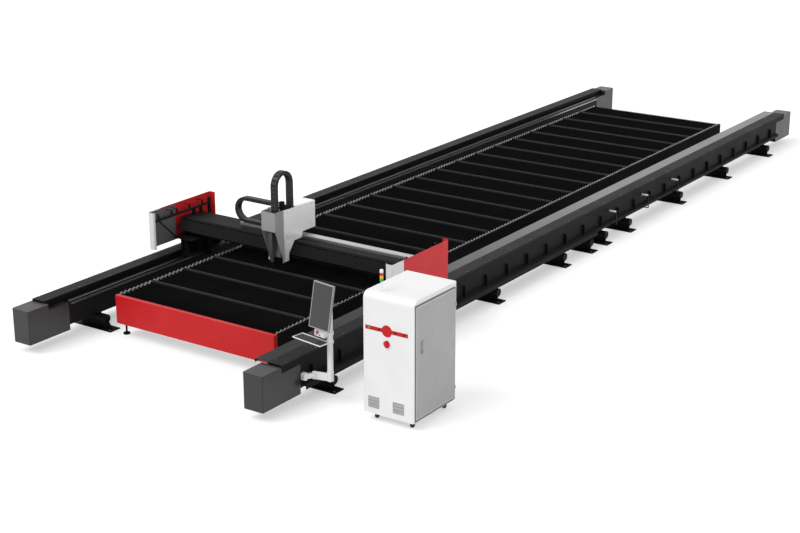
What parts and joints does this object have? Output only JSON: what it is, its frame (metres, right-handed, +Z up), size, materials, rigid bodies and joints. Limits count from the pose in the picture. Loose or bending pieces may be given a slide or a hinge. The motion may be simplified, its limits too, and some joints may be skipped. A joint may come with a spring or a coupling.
{
  "type": "gantry laser cutting machine",
  "caption": "Ground-rail laser cutting machine: gantry and cutting head travel over a long slat bed, with a swinging operator console and a separate source cabinet.",
  "frame": {"origin": "centre of the whole outline at floor level, machine and cabinet together", "axes": "+Z up; +Y along the rails, away from the operator's end; +X across the machine, towards the source cabinet"},
  "size_m": [6.272, 17.28, 2.1799],
  "materials": {
    "frame_dark": "satin",
    "cover_grey": "satin",
    "strip_grey": "satin",
    "guide_steel": "ground",
    "zinc": "satin",
    "bed_black": "matte",
    "slat_steel": "matte",
    "comb_steel": "satin",
    "red_paint": "satin",
    "white_paint": "satin",
    "silver_grey": "satin",
    "black_metal": "satin",
    "aluminium": "anodised",
    "copper": "turned",
    "chain_plastic": "matte",
    "bellows_fabric": "coated",
    "roller_plastic": "matte",
    "key_plastic": "matte",
    "screen_plastic": "gloss",
    "button_red": "gloss",
    "button_dark": "gloss",
    "castor_tyre": "matte",
    "tower_plastic": "gloss"
  },
  "bodies": {
    "machine": {"left_beam": "frame_dark", "right_beam": "frame_dark", "beam_end_boxes": "frame_dark", "rail_covers": "cover_grey", "chain_cover_strips": "strip_grey", "guide_rails": "guide_steel", "gear_racks": "guide_steel", "beam_feet": "frame_dark", "anchor_bolts": "zinc", "bed_frame": "bed_black", "bed_front_panel": "red_paint", "slats": "slat_steel", "slat_combs": "comb_steel", "bed_feet": "bed_black", "console_clamp": "white_paint", "cabinet_shell": "white_paint", "laser_source": "cover_grey", "signal_tower": "tower_plastic", "cabinet_buttons": "red_paint", "rear_castor_forks": "zinc"},
    "gantry": {"gantry_beam": "black_metal", "gantry_saddles": "frame_dark", "guide_blocks": "guide_steel", "y_drives": "black_metal", "x_guide_rails": "guide_steel", "beam_top_cover": "black_metal", "chain_tray": "aluminium", "left_side_panel": "red_paint", "right_side_panel": "red_paint", "end_posts": "white_paint", "panel_frames": "black_metal", "bellows_left": "bellows_fabric", "bellows_right": "bellows_fabric"},
    "carriage": {"x_carriage": "black_metal", "head_housing": "white_paint", "z_chain": "chain_plastic", "cross_chain": "chain_plastic"},
    "head": {"head_slide": "silver_grey", "cutting_head": "aluminium", "nozzle": "copper"},
    "console_arm": {"console_arm": "white_paint"},
    "console_pole": {"console_pole": "white_paint", "keyboard_tray": "white_paint", "keyboard": "key_plastic", "control_box": "white_paint"},
    "monitor": {"monitor": "screen_plastic"},
    "console_estop": {"console_estop": "button_red"},
    "start_button": {"start_button": "button_dark"},
    "reset_button": {"reset_button": "button_dark"},
    "cabinet_door": {"cabinet_door": "silver_grey"},
    "cabinet_knob": {"cabinet_knob": "button_red"},
    "castor_fork_left": {"castor_fork_left": "zinc"},
    "castor_fork_right": {"castor_fork_right": "zinc"},
    "chain_roller_1": {"chain_roller_1": "roller_plastic"},
    "chain_roller_2": {"chain_roller_2": "roller_plastic"},
    "chain_roller_3": {"chain_roller_3": "roller_plastic"},
    "castor_wheel_1": {"castor_wheel_1": "castor_tyre"},
    "castor_wheel_2": {"castor_wheel_2": "castor_tyre"},
    "castor_wheel_3": {"castor_wheel_3": "castor_tyre"},
    "castor_wheel_4": {"castor_wheel_4": "castor_tyre"}
  },
  "joints": [
    {"name": "gantry_travel", "type": "slide", "parent": "machine", "child": "gantry", "axis": [0, 1, 0], "range_m": [-1.67, 12.05]},
    {"name": "carriage_travel", "type": "slide", "parent": "gantry", "child": "carriage", "axis": [1, 0, 0], "range_m": [-1.22, 1.38], "deforming": ["bellows_left", "bellows_right", "cross_chain"]},
    {"name": "head_travel", "type": "slide", "parent": "carriage", "child": "head", "axis": [0, 0, 1], "range_m": [-0.14, 0.05], "deforming": ["z_chain"]},
    {"name": "console_arm_swing", "type": "hinge", "parent": "machine", "child": "console_arm", "pos_m": [1.473, -7.84, 0.382], "axis": [0, 0, -1], "range_deg": [0, 60]},
    {"name": "console_pole_swing", "type": "hinge", "parent": "console_arm", "child": "console_pole", "pos_m": [1.541, -7.735, 0.382], "axis": [0, 0, -1], "range_deg": [0, 20]},
    {"name": "monitor_tilt", "type": "hinge", "parent": "console_pole", "child": "monitor", "pos_m": [1.75087, -7.73636, 1.245], "axis": [0.9877, -0.1564, 0], "range_deg": [-10, 20]},
    {"name": "estop_press", "type": "slide", "parent": "console_pole", "child": "console_estop", "axis": [0.1564, 0.9877, 0], "range_m": [0, 0.004], "stiffness_N_per_m": 800},
    {"name": "start_press", "type": "slide", "parent": "console_pole", "child": "start_button", "axis": [0.1564, 0.9877, 0], "range_m": [0, 0.002], "stiffness_N_per_m": 600},
    {"name": "reset_press", "type": "slide", "parent": "console_pole", "child": "reset_button", "axis": [0.1564, 0.9877, 0], "range_m": [0, 0.002], "stiffness_N_per_m": 600},
    {"name": "door_swing", "type": "hinge", "parent": "machine", "child": "cabinet_door", "pos_m": [3.119, -6.883, 0.86], "axis": [0, 0, 1], "range_deg": [0, 110]},
    {"name": "switch_turn", "type": "hinge", "parent": "machine", "child": "cabinet_knob", "pos_m": [2.713, -7.803, 1.08], "axis": [0, 1, 0], "range_deg": [0, 90]},
    {"name": "chain_roller_1_turn", "type": "hinge", "parent": "machine", "child": "chain_roller_1", "pos_m": [1.501, 0.56, 0.495], "axis": [1, 0, 0], "continuous": true},
    {"name": "chain_roller_2_turn", "type": "hinge", "parent": "machine", "child": "chain_roller_2", "pos_m": [1.501, 1.76, 0.495], "axis": [1, 0, 0], "continuous": true},
    {"name": "chain_roller_3_turn", "type": "hinge", "parent": "machine", "child": "chain_roller_3", "pos_m": [1.501, 2.96, 0.495], "axis": [1, 0, 0], "continuous": true},
    {"name": "castor_left_swivel", "type": "hinge", "parent": "machine", "child": "castor_fork_left", "pos_m": [2.469, -7.693, 0.114], "axis": [0, 0, 1], "continuous": true},
    {"name": "castor_right_swivel", "type": "hinge", "parent": "machine", "child": "castor_fork_right", "pos_m": [2.998, -7.693, 0.114], "axis": [0, 0, 1], "continuous": true},
    {"name": "castor_wheel_1_roll", "type": "hinge", "parent": "castor_fork_left", "child": "castor_wheel_1", "pos_m": [2.469, -7.667, 0.038], "axis": [1, 0, 0], "continuous": true},
    {"name": "castor_wheel_2_roll", "type": "hinge", "parent": "castor_fork_right", "child": "castor_wheel_2", "pos_m": [2.998, -7.667, 0.038], "axis": [1, 0, 0], "continuous": true},
    {"name": "castor_wheel_3_roll", "type": "hinge", "parent": "machine", "child": "castor_wheel_3", "pos_m": [2.469, -6.945, 0.038], "axis": [1, 0, 0], "continuous": true},
    {"name": "castor_wheel_4_roll", "type": "hinge", "parent": "machine", "child": "castor_wheel_4", "pos_m": [2.998, -6.945, 0.038], "axis": [1, 0, 0], "continuous": true}
  ]
}
